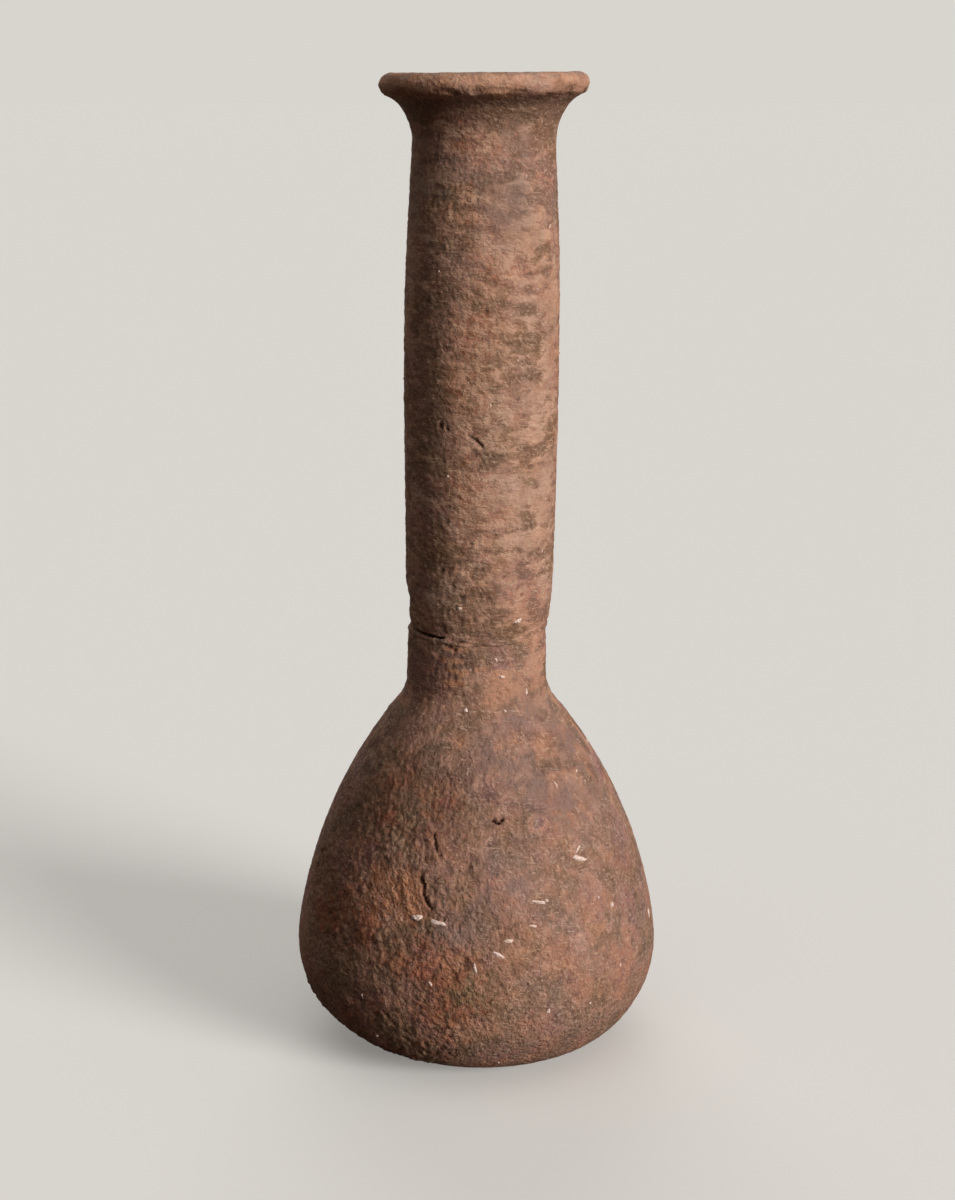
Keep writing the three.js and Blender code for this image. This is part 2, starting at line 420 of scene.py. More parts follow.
def fired_clay(name, clay, worn, skin, rust, dirt_and_painted_shade, dust):
    """Unglazed red clay, fired and long buried: matt and sandy. A dark skin is left in ragged
    patches over the paler clay, rust where it has flaked or broken, and grime in every hollow, which
    on the neck also carries painted shade under the rim. The fire and the soil have turned it warmer
    in places and greyer in others."""
    material = bpy.data.materials.new(name)
    tree = clear_nodes(material)
    skin_left, rusted, drawn, dirt_and_painted_shade_share, dusty, fresh = (
        add(tree, "Attribute", out="Fac", attribute_name=layer)
        for layer in ("skin", "rust", "drawn", "dirt_and_painted_shade", "dust", "fresh")
    )

    # Places in millimetres, curled a little so that no edge runs straight.
    curl_size, crevice_size = 1.5, 1.05
    place = add(tree, "TexCoord", out="Object")
    place = add(tree, "VectorMath", {0: place, 1: (1000, 1000, 1000)}, operation="MULTIPLY")
    curl = add(tree, "TexNoise", {"Vector": place, "Scale": 1 / curl_size, "Detail": 2}, out="Color")
    curl = add(tree, "VectorMath", {0: curl, 1: (0.5, 0.5, 0.5)}, operation="SUBTRACT")
    curled = add(tree, "VectorMath", {0: curl, 1: (1.2, 1.2, 0.8), 2: place}, operation="MULTIPLY_ADD")
    brushed = add(tree, "VectorMath", {0: curl, 1: (1.4, 1.4, 0.7), 2: place}, operation="MULTIPLY_ADD")

    # Patterns drawn out one way: how far each is turned, in degrees, and its size across, deep and
    # up in millimetres. Those that run the same every way have one size.
    streaks, chips, torn, scratch, stroke = (
        add(tree, "TexNoise", {"Vector": add(tree, "Mapping", {
            "Vector": base, "Rotation": (0, math.radians(turn), 0), "Scale": size,
        }, vector_type="TEXTURE"), "Scale": 1, "Detail": detail, "Roughness": rough})
        for base, turn, size, detail, rough in (
            (brushed, 0, (4.0, 4.0, 1.75), 6, 0.66),  # lines that a wet hand drew round the clay
            (curled, -24, (1.8, 1.8, 2.2), 6, 0.66),  # chips of skin
            (place, torn_way, (0.6, 0.6, 6), 2, 0.5),  # fibres of torn clay
            (place, 11, (1.5, 1.5, 0.26), 1, 0.5),  # fine pale scratches, nearly level
            (place, 58, (1.3, 1.3, 0.26), 1, 0.5),  # and aslant
        )
    )
    mottle, tints, sand, warmth = (
        add(tree, "TexNoise", {"Vector": base, "Scale": 1 / size, "Detail": detail, "Roughness": rough})
        for base, size, detail, rough in (
            (place, 4.5, 9, 0.68),  # mottling of worn clay
            (place, 7, 7, 0.6),  # the clay's own tints
            (place, 0.6, 3, 0.55),  # sand
            (curled, 6.5, 8, 0.68),  # warm and grey clouds
        )
    )
    ragged = add(tree, "Mix", {0: drawn, 2: chips, 3: streaks}, data_type="FLOAT")
    grains = add(tree, "TexVoronoi", {"Vector": curled, "Scale": 1 / crevice_size}, out="Distance")
    grains = add(tree, "Math", {0: sand, 1: -0.5, 2: grains}, operation="MULTIPLY_ADD")

    # What differs where the wet hand drew the clay round: how loose the skin is, how far patches
    # fade above and below their edge, how many grains show, and how far the sand stands out.
    loose, above, below, gritty, grit = (
        add(tree, "Mix", {0: drawn, 2: elsewhere, 3: there}, data_type="FLOAT")
        for elsewhere, there in ((1.0, 0.2), (0.28, 0.14), (-0.28, -0.15), (0.55, 0.15), (0.42, 0.2))
    )

    # Where the skin is loose the clay is scaly, least where it has just broken.
    loose = add(tree, "Math", {0: loose, 1: rusted}, operation="MULTIPLY")
    whole = add(tree, "MapRange", {"Value": fresh, "From Max": 0.5, "To Min": 1.0, "To Max": 0.05})
    loose = add(tree, "Math", {0: loose, 1: whole}, operation="MULTIPLY")
    scaly = add(tree, "MapRange", {"Value": loose, "From Max": 0.6, "To Min": 0.1})
    smooth = add(tree, "MapRange", {"Value": loose, "From Max": 0.6, "To Min": 1.0, "To Max": 0.35})

    # Middle clay, paler where the skin has worn off it and darker where the skin and soil are left.
    colour = add(tree, "ValToRGB", {0: tints}, stops=zip((0.4, 0.47, 0.54, 0.62), clay))
    worn_tone = add(tree, "ValToRGB", {0: mottle}, stops=zip((0.42, 0.58), worn))
    skin_tone = add(tree, "ValToRGB", {0: tints}, stops=zip((0.4, 0.48, 0.56, 0.62), skin))
    wear = add(tree, "Math", {0: skin_left, 1: -0.5, 2: -0.85}, operation="MULTIPLY_ADD")
    wear = add(tree, "Math", {0: ragged, 1: 2.2, 2: wear}, operation="MULTIPLY_ADD")
    bare = add(tree, "MapRange", {"Value": wear, "From Min": 0.02, "From Max": above, "To Max": 0.9})
    film = add(tree, "MapRange", {"Value": wear, "From Min": -0.02, "From Max": below, "To Max": 0.9})
    rusty = add(tree, "Math", {0: chips, 1: 4.0, 2: -2.35}, operation="MULTIPLY_ADD")
    rusty = add(tree, "Math", {0: rusty, 1: rusted}, operation="ADD")
    rusty = add(tree, "MapRange", {"Value": rusty, "From Min": 0.2, "From Max": 0.8, "To Max": 0.7})

    # A fresh break is orange. Where no hand has smoothed it, it shows the fibres of the torn clay.
    broken = add(tree, "MapRange", {"Value": chips, "From Min": 0.3, "From Max": 0.6, "To Min": 0.7})
    broken = add(tree, "Math", {0: broken, 1: fresh}, operation="MULTIPLY")
    fibrous = add(tree, "Math", {0: 1.0, 1: drawn}, operation="SUBTRACT")
    fibrous = add(tree, "Math", {0: fibrous, 1: fresh}, operation="MULTIPLY")
    furrow = add(tree, "MapRange", {"Value": torn, "From Min": 0.5, "From Max": 0.36, "To Max": 0.55})
    furrow = add(tree, "Math", {0: furrow, 1: fibrous}, operation="MULTIPLY")

    # Crumbs of soil, dark and pale grains of sand, most where it is crusted, and pale scratches.
    crumb = add(tree, "MapRange", {"Value": chips, "From Min": 0.4, "From Max": 0.34, "To Max": 0.25})
    grainy = add(tree, "MapRange", {"Value": mottle, "From Min": 0.44, "From Max": 0.58, "To Min": 0.5})
    crusted = add(tree, "Math", {0: film, 1: 0.45, 2: gritty}, operation="MULTIPLY_ADD")
    grainy = add(tree, "Math", {0: grainy, 1: crusted}, operation="MULTIPLY")
    dark = add(tree, "MapRange", {"Value": sand, "From Min": 0.43, "From Max": 0.32, "To Max": 0.6})
    dark = add(tree, "Math", {0: dark, 1: grainy}, operation="MULTIPLY")
    pale = add(tree, "MapRange", {"Value": sand, "From Min": 0.55, "From Max": 0.67, "To Max": 0.8})
    pale = add(tree, "Math", {0: pale, 1: grainy}, operation="MULTIPLY")
    pale = add(tree, "Math", {0: pale, 1: smooth}, operation="MULTIPLY")
    scratch, stroke = (
        add(tree, "MapRange", {"Value": line, "From Min": 0.61, "From Max": 0.73, "To Max": strength})
        for line, strength in ((scratch, 0.6), (stroke, 0.5))
    )
    scratch = add(tree, "Math", {0: scratch, 1: stroke}, operation="MAXIMUM")
    scratch = add(tree, "Math", {0: scratch, 1: smooth}, operation="MULTIPLY")
    for share, tone in (  # the lowest first
        (bare, worn_tone), (film, skin_tone), (rusty, rust), (broken, "#be8563"), (furrow, dirt_and_painted_shade),
        (crumb, dirt_and_painted_shade), (dark, dirt_and_painted_shade), (pale, "#d3b298"), (scratch, "#cfac93"),
    ):
        colour = add(tree, "Mix", {0: share, 6: colour, 7: tone}, out=2, data_type="RGBA")

    # Clouds, warmer where it was fired well and greyer or olive where the soil has stained it.
    warmth = add(tree, "MapRange", {"Value": warmth, "From Min": 0.37, "From Max": 0.63,
                                    "To Min": -0.5, "To Max": 0.5})
    spread = add(tree, "Math", {0: loose, 1: 1.2, 2: 1.15}, operation="MULTIPLY_ADD")
    middle = add(tree, "Math", {0: loose, 1: 0.4, 2: 0.5}, operation="MULTIPLY_ADD")
    warmth = add(tree, "Math", {0: warmth, 1: spread, 2: middle}, operation="MULTIPLY_ADD")
    soiled = add(tree, "Math", {0: drawn, 1: 0.22, 2: loose}, operation="MULTIPLY_ADD")
    soiled = add(tree, "Math", {0: soiled, 1: 2.0}, operation="MULTIPLY")
    cool = add(tree, "Mix", {0: soiled, 4: (0.96, 1.0, 1.12), 5: (0.99, 1.0, 0.87)}, out=1,
               data_type="VECTOR")
    warmth = add(tree, "Mix", {0: warmth, 4: cool, 5: (1.04, 0.978, 0.9)}, out=1,
                 data_type="VECTOR", clamp_factor=False)
    colour = add(tree, "VectorMath", {0: colour, 1: warmth}, operation="MULTIPLY")

    # Crevices between the scales and grime in every hollow, with the painted shade under the neck's
    # rim that comes in the same layer, and dust settled over them.
    crevice_dirt_and_shade = add(tree, "MapRange", {"Value": grains, "From Min": 0.42, "From Max": 0.64, "To Max": 0.65})
    crevice_dirt_and_shade = add(tree, "Math", {0: crevice_dirt_and_shade, 1: scaly}, operation="MULTIPLY")
    crevice_dirt_and_shade = add(tree, "Math", {0: crevice_dirt_and_shade, 1: dirt_and_painted_shade_share}, operation="MAXIMUM")
    settled = add(tree, "Math", {0: sand, 1: 1.7}, operation="MULTIPLY")
    settled = add(tree, "Math", {0: settled, 1: dusty}, operation="MULTIPLY")
    for share, tone in ((crevice_dirt_and_shade, dirt_and_painted_shade), (settled, dust)):
        colour = add(tree, "Mix", {0: share, 6: colour, 7: tone}, out=2, data_type="RGBA")

    # Heights in millimetres: chips or brushed lines, torn fibres, sand, the skin and crevices.
    crust = add(tree, "MapRange", {"Value": whole, "To Min": 0.2, "To Max": 0.8})
    height = add(tree, "Math", {0: ragged, 1: 0.5}, operation="SUBTRACT")
    height = add(tree, "Math", {0: height, 1: crust}, operation="MULTIPLY")
    torn = add(tree, "Math", {0: torn, 1: 0.5}, operation="SUBTRACT")
    torn = add(tree, "Math", {0: torn, 1: fibrous}, operation="MULTIPLY")
    grains = add(tree, "Math", {0: grains, 1: scaly}, operation="MULTIPLY")
    for layer, thick in ((torn, 0.8), (sand, grit), (film, 0.05), (grains, -0.34)):
        height = add(tree, "Math", {0: layer, 1: thick, 2: height}, operation="MULTIPLY_ADD")
    bump = add(tree, "Bump", {"Distance": mm, "Height": height})
    rough = add(tree, "MapRange", {"Value": film, "To Min": 0.98, "To Max": 0.88})
    surface = add(tree, "BsdfPrincipled", {
        "Base Color": colour, "Roughness": rough, "Specular IOR Level": 0.1, "Normal": bump,
    })
    add(tree, "OutputMaterial", {"Surface": surface})
    return material


sharp_edge = 62  # degrees, past which the shading breaks
sheet_margin = 0.001  # share of the map left free at its edges


def make_mesh(name, points, faces, material):
    """A smooth mesh from points in millimetres."""
    mesh = bpy.data.meshes.new(name)
    mesh.from_pydata((np.reshape(points, (-1, 3)) * mm).tolist(), [], faces)
    mesh.shade_smooth()
    mesh.materials.append(material)
    return put_in_scene(name, mesh)


def make_piece(name, places, loop, material, layers):
    """A closed mesh from rows and columns of places in millimetres, with its layers of wear and
    one flat sheet as its map. A loop joins its last row to its first; any other form is capped."""
    rows, sides = places.shape[:2]
    number = np.arange(rows * sides).reshape(rows, sides)
    below = number if loop else number[:-1]
    above = np.roll(number, -1, 0) if loop else number[1:]
    across = [np.roll(below, -1, 1), np.roll(above, -1, 1)]
    faces = np.stack([below, across[0], across[1], above], -1).reshape(-1, 4).tolist()
    if not loop:
        faces += [number[0, ::-1].tolist(), number[-1].tolist()]
    piece = make_mesh(name, places, faces, material)
    mesh = piece.data
    for layer, values in layers.items():
        store = mesh.attributes.new(layer, "FLOAT", "POINT")
        values = np.broadcast_to(values, (rows, sides)).ravel().astype(np.float32)
        store.data.foreach_set("value", values)
    front = places[:, sides // 2]
    gone = np.linalg.norm(np.diff(front, axis=0, append=front[:1]), axis=1)
    up = np.concatenate([[0], np.cumsum(gone)]) / gone.sum()
    strips = len(below)
    left, low = np.meshgrid(np.arange(sides) / sides, up[:strips])
    right, high = np.meshgrid(np.arange(1, sides + 1) / sides, up[1 : strips + 1])
    sheet = np.stack([left, low, right, low, right, high, left, high], -1).ravel()
    sheet = np.concatenate([sheet, np.zeros(len(mesh.loops) * 2 - len(sheet))])
    sheet = sheet_margin + (1 - 2 * sheet_margin) * sheet
    mesh.uv_layers.new(name="OFBake").data.foreach_set("uv", sheet)
    mesh.set_sharp_from_angle(angle=math.radians(sharp_edge))
    return piece


def blots(places, wall, marks):
    """The strongest of several oval marks, each azimuth, height, width and tall."""
    return np.max([blot(places, wall, *one) for one in marks], axis=0)


# Where the skin is worn through to bare clay.
body_bare = blots(body_places, body_wall, [
    (0, 66.4, 6, 1.8), (42, 66.8, 8, 3), (-42, 67.2, 5, 1.2), (25, 65, 9, 1.6), (38, 52, 5, 2.4),
    (-24, 63.5, 4, 1), (34, 55.5, 5, 1), (150, 66, 10, 2), (215, 68, 8, 2.4), (120, 50, 6, 4),
    (-16, 66.1, 5, 1.4), (-8, 66.2, 7, 1.8), (54, 68.2, 5.4, 6), (14, 65.6, 8, 2.4), (-43, 47, 9, 7),
    (50, 53, 8, 5), (-8, 44, 6, 4), (4, 12, 12, 5), (55, 53, 4, 5), (38, 25.4, 10, 6), (26, 23, 7, 3),
    (25, 36, 5, 2.4), (42, 12.4, 5, 1.8), (58, 61, 4, 3), (2, 4.5, 14, 2.4), (-36, 5, 8, 2),
    (170, 24, 12, 8), (250, 36, 10, 14), (110, 16, 12, 5), (41, 55.7, 4.6, 1.6), (14, 52.4, 7, 1.4),
    (-21, 65.9, 6, 1.3), (-3, 66.8, 6, 2.2), (-18, 72.0, 4.4, 1.3), (-12, 57.5, 2.6, 2),
    (-14, 24.3, 2.4, 2), (-4, 20.2, 2.2, 1.6), (10, 17.5, 3, 2.4),
])
# A small broken ring of pale pink clay at the front.
from_ring = np.hypot(*mark(body_places, body_wall, 25.6, 44.9)) + 0.5 * bumps(body_places, 1.7, 18, 2)
pink_ring = band(from_ring, 1.4, 0.45) * np.clip(0.75 + 0.9 * bumps(body_places, 2.2, 19), 0, 1)
body_orange = blots(body_places, body_wall, [
    (42, 56.2, 4.6, 2.2), (55.5, 22.5, 2.0, 7), (-10, 57, 2.6, 2.2), (-8, 24, 4, 2.4), (-38, 24, 2, 3),
    (160, 30, 4, 6), (230, 45, 6, 3),
])
on_collar = ease(54, 64, body_places[..., 2])
on_shoulder = ease(42, 50, body_places[..., 2]) * (1 - on_collar)
# Painted shade: the skin is made darker towards the foot, where the lower body gets little light, and
# the rust is a little stronger there.
low_painted_shade_and_rust = 1 - ease(14, 32, body_places[..., 2])
# Stacked level chips at the left of the collar.
collar_chip = ease(0.42, 0.54, blots(body_places, body_wall, [
    (-18, 71.8, 4.4, 1.1), (-20, 69.8, 3.6, 1.3), (-15, 68.0, 3.8, 1.1), (-17, 66.1, 4.6, 1.1),
    (4, 68.5, 2, 1),
]) + 0.25 * bumps(body_places, 1.3, 17, 2))
body_stain = blots(body_places, body_wall, [
    (14, 42, 9, 9), (-12, 52, 8, 16), (34, 60.4, 9, 5), (-4, 43, 6, 8), (-2, 29, 11, 5),
    (-68, 44, 17, 32), (66, 30, 5, 20), (190, 40, 26, 24), (130, 22, 20, 14), (-24, 19.5, 8, 6),
    (-46, 21, 9, 12), (-5, 60, 6, 4), (-58, 33, 8, 14), (-12, 69.5, 8, 8), (-52, 68.5, 9, 12),
    (-34, 69, 4, 9), (1, 71.0, 3, 2.6), (28, 70.6, 10, 2.2), (-30, 64, 9, 2.4),
])
# Darker patches on the left of the shoulder.
left_shoulder_darkening = blots(body_places, body_wall, [(-26, 51, 12, 8), (-13, 45, 8, 8), (-52, 45, 8, 9)])
body_scores = scores(body_places)
body_rust = blots(body_places, body_wall, [
    (-16.5, 48.7, 6, 5), (-40, 45.6, 6, 5), (-10, 23, 13, 7), (-4, 17, 10, 6), (-16, 26.8, 5, 3.4),
    (-38, 28, 4, 8), (-60, 27, 10, 6), (160, 30, 9, 7), (-150, 20, 12, 6), (-38, 51, 8, 5),
    (-49, 30, 5, 6),
])
body_grey = blots(body_places, body_wall, [
    (36, 60.5, 7, 5), (62, 54, 7, 16), (15, 55, 10, 8), (44, 46, 8, 8), (10, 36, 9, 8),
    (-5, 34, 8, 7), (-7, 28.6, 8, 4), (30, 50, 6, 5), (200, 52, 16, 10), (140, 36, 14, 10),
    (265, 24, 12, 9),
])


def patchy(places, broad=0.35, fine=0.45):
    """How much of the dark skin is left, before any mark: 0 bare, 1 whole."""
    return 0.5 + broad * bumps(places, 9, 41, 2) + fine * bumps(places, 2.8, 42, 3)


body_spall = spalled(body_places)
# On the flaked left front the skin is darker and the rust redder: partly the clay's own scaling and
# partly painted shade, with a painted warm red reflection.
flaked_with_painted_shade = flaked(body_places)
body_layers = {
    "skin": patchy(body_places, 0.08, 0.4) + 0.25 * flaked_with_painted_shade + 0.14 * low_painted_shade_and_rust
    + 1.15 * on_shoulder * bumps(body_places, 2.8, 20, 3)
    + 0.75 * on_collar * bumps(body_places, 2.2, 16, 2)
    - (0.45 + 0.1 * on_collar) * body_bare + (0.38 + 0.15 * on_collar) * body_stain
    - 0.25 * body_rust - 0.2 * body_grey + 0.5 * (1 - ease(2, 3.6, from_ring)) - 2.2 * pink_ring,
    "rust": 0.46 * flaked_with_painted_shade + 0.6 * body_spall + 0.75 * body_rust + 0.15 * low_painted_shade_and_rust,
    "fresh": np.max([0.66 * body_spall, 0.7 * body_scores, 0.85 * collar_chip, 0.5 * body_orange,
                     0.15 * pink_ring], axis=0),
    "drawn": on_collar,
    "dirt_and_painted_shade": outside * np.max([
        0.85 * ease(0.08, 0.4, body_cuts), 0.4 * (1 - body_spall) * ease(0.2, 0.45, -body_relief),
        0.4 * (1 - collar_chip) * blot(body_places, body_wall, -18, 69, 4.6, 4.2), 0.32 * left_shoulder_darkening,
        0.13 * blot(body_places, body_wall, 66, 32, 14, 26),
        0.35 * on_shoulder * ease(0.05, 0.4, bumps(body_places, 3.2, 23, 3)),
    ], axis=0),
    "dust": body_grey * ease(0.2, 0.6, patchy(body_places[..., ::-1])),
}
body_clay = fired_clay(
    "fired_red_clay_of_body",
    clay=("#8d6d59", "#99745f", "#a17866", "#ab7b68"), worn=("#ae7f68", "#bf9179"),
    skin=("#806250", "#876654", "#8b675a", "#936c62"), rust="#965a43", dirt_and_painted_shade="#4b3027", dust="#907368",
)
body = make_piece("body_thrown_clay", body_shaped, False, body_clay, body_layers)
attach(body, "root")
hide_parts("body")


# Neck. A tall tube thrown by itself, opened at the top into a flared, rounded rim and a funnel
# mouth. Same red clay, brushed level on the wheel; its dark skin is worn through in pale patches.

neck_foot = 73.6
foot_bevel = (11.3, 11.55, 0.25)  # radius at the seam, radius above the bevel, and its height
neck_lower = (12.5, 83.6)
neck_swell = (12.8, 126.6)
throat = (11.65, 153.8)
throat_rise = 3.5  # how far the flare starts upright
flare_reach = 3  # how far the flare holds the lip's slope
lip_round = 1.9
lip_centre = (15.15, 163.1)
under_lip = math.radians(-65)  # where on the lip's round the flare ends
rim_top = 165.0
mouth_reach = 3.2
funnel_top, funnel_end = 160, 152
neck_lean = 0.6  # degrees, to the right
neck_shift = 0.35  # the neck was set a little to the right of the collar
rim_tilt = 0.6  # degrees, right side up


def through(points):
    """A smooth line through the points."""
    points = [np.array(p, float) for p in points]
    padded = [points[0], *points, points[-1]]
    return chain(*(
        curve(b, b + (c - a) / 6, c - (d - b) / 6, c)
        for a, b, c, d in zip(padded, padded[1:], padded[2:], padded[3:])
    ))


def arc(centre, radius, start, end, count):
    """Points on a round between two angles."""
    angles = np.linspace(start, end, count)
    return centre + radius * np.column_stack([np.cos(angles), np.sin(angles)])


lip_line = arc(lip_centre, lip_round, under_lip, math.pi / 2, 40)
lip_start = lip_line[0]
flare_aim = lip_start + flare_reach * np.array([math.sin(under_lip), -math.cos(under_lip)])
over_bevel = (foot_bevel[1], neck_foot + foot_bevel[2])
neck_wall = walk(chain(
    [(foot_bevel[0], neck_foot), over_bevel],
    through([over_bevel, neck_lower, neck_swell, throat]),
    curve(throat, (throat[0], throat[1] + throat_rise), flare_aim, lip_start),
), step=0.33)
lip = walk(lip_line, step=0.3)
mouth = walk(curve((lip_centre[0], rim_top), (lip_centre[0] - mouth_reach, rim_top),
                   (bore_radius, funnel_top), (bore_radius, funnel_end)), step=0.6)
neck_bore = walk([(bore_radius, funnel_end), (bore_radius, neck_foot)], step=2.6)
seam_face = walk([(bore_radius, neck_foot), (foot_bevel[0], neck_foot)], step=1)[:-1]
neck_outline = chain(neck_wall, lip, mouth, neck_bore, seam_face)
neck_places, neck_outward = throw(neck_outline, sides=272, crowding=0.3)
neck_row = np.arange(len(neck_outline))[:, None]
last_out = len(neck_wall) + len(lip) - 2
last_mouth = last_out + len(mouth) - 1
neck_front = neck_row <= last_out
neck_open = neck_row <= last_mouth  # with the mouth's funnel


def relief_of_neck(places):
    """How far the clay of the neck, rim and mouth stands out of the thrown form, or in."""
    height = places[..., 2]
    radius = np.hypot(places[..., 0], places[..., 1])
    shank = 1 - ease(153, 158, height)
    grit = bumps(places, 0.75, 7, 2)
    crumbs = bumps(places, 1.6, 6, 3)
    pits = ease(0.42, 0.55, bumps(places, 1.3, 9))
    lift = 0.12 * bumps(places, 21, 2) + 0.035 * bumps(places, 6, 4) + wheel_lines(places)
    coarse = 1 + 0.8 * (1 - ease(84, 96, height)) + 0.3 * ease(132, 144, height) * shank
    lift += (0.055 * grit + 0.05 * crumbs - 0.09 * pits) * (0.25 + 0.75 * shank) * coarse
    # A thumb's dent above the seam, on the left, and the scored marks at the front.
    lift -= 0.45 * blot(places, neck_wall, -90, 78.2, 7, 3.2)
    lift -= 0.8 * groove(places, neck_wall, -3.6, 107, [(-1.15, 1), (0, 0.2), (1.1, -0.9)], 0.36)
    knot = np.hypot(*mark(places, neck_wall, -30.4, 109.3))
    lift += 0.14 * band(knot, 0.8, 0.35) - 0.45 * band(knot, 0, 0.45)
    lift -= 0.3 * groove(places, neck_wall, -30.4, 109.3, [(-0.7, 1.0), (0.7, 0.9), (1.2, -0.6)], 0.34)
    for azimuth, up in ((2.6, 127.9), (35, 80.8), (6, 80.6), (12, 119), (48, 97)):
        lift -= 0.3 * blot(places, neck_wall, azimuth, up, 0.7, 0.6)
    # The lip's lower edge is chipped, and the hollow under it is a little deeper than it was.
    chipped = ease(0.0, 0.3, bumps(places, (3.2, 3.2, 1.6), 33, 3))
    lift -= 0.3 * chipped * band(height, 161.9, 0.7) * (radius > 14)
    lift -= 0.2 * band(height, 160.2, 1.1) * (radius > 11)
    on_lip = ease(160.5, 162, height)
    lift += on_lip * 0.09 * bumps(places, 2.2, 35, 3)
    return lift


above_seam = neck_places[..., 2] - neck_foot
neck_relief = np.where(neck_open, relief_of_neck(neck_places), relief_inside(neck_places) * 0.6)
neck_relief = neck_relief * ease(0, 1.4, above_seam)
neck_shaped = neck_places + neck_outward * neck_relief[..., None]
tilted = ease(throat[1], rim_top, neck_places[..., 2])
neck_shaped[..., 2] += neck_places[..., 0] * math.tan(math.radians(rim_tilt)) * tilted
neck_shaped[..., 0] += neck_shift + above_seam * math.tan(math.radians(neck_lean))

# Where the neck's skin is worn to bare clay. The pale patch at azimuth -66 and height 146, on the
# shaded left of the upper neck, is painted light.
neck_bare_and_painted_light = blots(neck_places, neck_wall, [
    (17, 135.2, 4.4, 4.2), (10, 127, 7, 2), (54, 115.6, 6.6, 9), (24, 109.6, 6, 3.4),
    (22, 98.7, 11, 5.2), (52, 96, 5, 12), (27, 90.4, 11, 4.6), (29, 80.4, 6, 3), (57, 74.6, 4, 2),
    (10, 85, 4, 2), (0, 96, 12, 6), (5, 122, 10, 8), (66, 128, 4, 14), (45, 140, 8, 3),
    (-12, 118, 7, 10), (-20, 141, 5, 6), (120, 120, 12, 10), (150, 96, 14, 7), (200, 132, 12, 9),
    (240, 104, 12, 8), (185, 84, 10, 4), (95, 104, 8, 12), (-70, 126, 7, 10), (-66, 146, 9, 22),
    (24, 147.4, 5, 1.6), (19, 112, 5, 5), (45, 143, 5, 2), (20, 138.5, 10, 4), (-14, 146, 3, 3),
    (-8, 139, 4, 4),
])
neck_stain = blots(neck_places, neck_wall, [
    (62, 148, 8, 14), (36, 86.6, 10, 2), (34, 150, 12, 6), (35, 125, 8, 5), (-22, 113.7, 6, 4),
    (35, 118, 4, 4), (40, 104.6, 9, 3), (22, 118, 10, 6), (-40, 126, 10, 30), (-35, 92, 8, 16),
    (0, 81, 10, 8), (28, 94.6, 8, 2), (60, 76.8, 7, 3), (180, 146, 20, 12), (220, 116, 16, 8),
    (140, 108, 16, 6), (-110, 100, 14, 20), (100, 134, 9, 8),
])
neck_rust = blots(neck_places, neck_wall, [
    (-3, 122, 9, 18), (-21, 155, 5, 7), (-14, 149, 5, 9), (-8, 100, 5, 10), (8, 133, 4, 5),
    (-24, 142, 5, 6), (150, 132, 10, 12), (220, 92, 12, 10),
])
# The upper neck is duller and the rim worn. The hollow under the rim is darker, partly grimy and
# partly painted shade, most on its left; on that side the rim's worn clay is painted lighter, as
# painted light.
upper = ease(134, 143, neck_places[..., 2]) * (1 - ease(155, 160, neck_places[..., 2]))
rim_height = neck_places[..., 2] + 0.9 * bumps(neck_places, 2.6, 31, 3)
rim_band = ease(160.9, 161.9, rim_height) * neck_front
under_rim_dirt_and_shade = band(neck_places[..., 2], 159.6, 1.7) * neck_front
# Painted shade and painted light: the weight is largest on the left, away from the main lamp.
left_painted_shade_and_light = 0.12 + 0.18 * (1 - ease(-30, 30, azimuth_of(neck_places)))
neck_layers = {
    "skin": patchy(neck_places, 0.16) - 0.5 * neck_bare_and_painted_light + 0.36 * neck_stain + 0.15 * upper
    + 0.8 * under_rim_dirt_and_shade - 0.3 * rim_band,
    "rust": 0.1 * rim_band + 0.25 * flaked(neck_places * (1, 1, 0)) + 0.5 * neck_rust,
    "fresh": 1.6 * left_painted_shade_and_light * rim_band,
    "drawn": 1 - 0.25 * rim_band,
    "dirt_and_painted_shade": np.clip(0.8 * ease(0.1, 0.4, -neck_relief) * neck_open * (1 - 0.6 * rim_band)
                    + under_rim_dirt_and_shade * left_painted_shade_and_light, 0, 0.9),
    "dust": np.maximum(0.7 * ease(164.3, 164.9, rim_height - 0.4 * bumps(neck_places, 1.2, 34, 2)),
                       0.5 * upper * ease(0.35, 0.85, patchy(neck_places[..., ::-1]))),
}
neck_clay = fired_clay(
    "fired_red_clay_of_neck",
    clay=("#98745d", "#a17a65", "#ae826f", "#b3806b"), worn=("#b88c74", "#ca9f88"),
    skin=("#7d5f4b", "#876452", "#8a6656", "#906a5c"), rust="#9c644b", dirt_and_painted_shade="#523c31", dust="#967c6f",
)
neck = make_piece("neck_thrown_clay", neck_shaped, True, neck_clay, neck_layers)
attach(neck, "root")
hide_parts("neck")


# Luting slip. The ring of wet clay that joined the neck to the collar, squeezed a little into the
# bore. Outside, the potter wiped it flush over the joint; on the left front it has split open.

joint = 73.2  # the middle of the seam, which runs from the collar's top to the neck's foot
bead_radius = 0.4
bead_centre = 8.0
slip_proud = 0.06  # how far the wiped slip stands out of the wall

